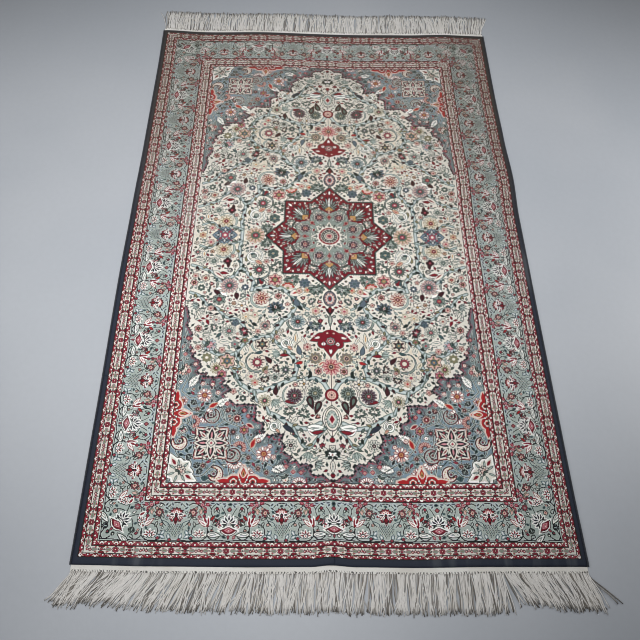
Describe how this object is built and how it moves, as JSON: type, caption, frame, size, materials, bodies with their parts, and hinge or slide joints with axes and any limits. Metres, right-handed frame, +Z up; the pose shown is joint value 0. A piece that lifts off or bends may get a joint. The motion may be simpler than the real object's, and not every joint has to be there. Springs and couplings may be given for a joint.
{
  "type": "hand-knotted silk rug",
  "caption": "Rectangular knotted pile rug lying flat, with overcast sides and a flat-woven strip with a strand fringe at both ends; star medallion on an ivory field inside a wide floral border.",
  "frame": {"origin": "middle of the pile body's flat underside, on the floor", "axes": "+Y along the rug to its far end, +X across it to the right, +Z up out of the pile"},
  "size_m": [1.3129, 2.1665, 0.0076],
  "materials": {
    "silk_pile": "cut silk pile, soft sheen, knotted floral pattern",
    "selvedge_yarn": "overcast navy yarn, matt",
    "warp_yarn": "undyed twisted warp yarn, matt"
  },
  "bodies": {
    "root": {"pile_body": "silk_pile", "selvedge_left": "selvedge_yarn", "selvedge_right": "selvedge_yarn", "end_fringe_near": "warp_yarn", "end_fringe_far": "warp_yarn"}
  },
  "joints": []
}
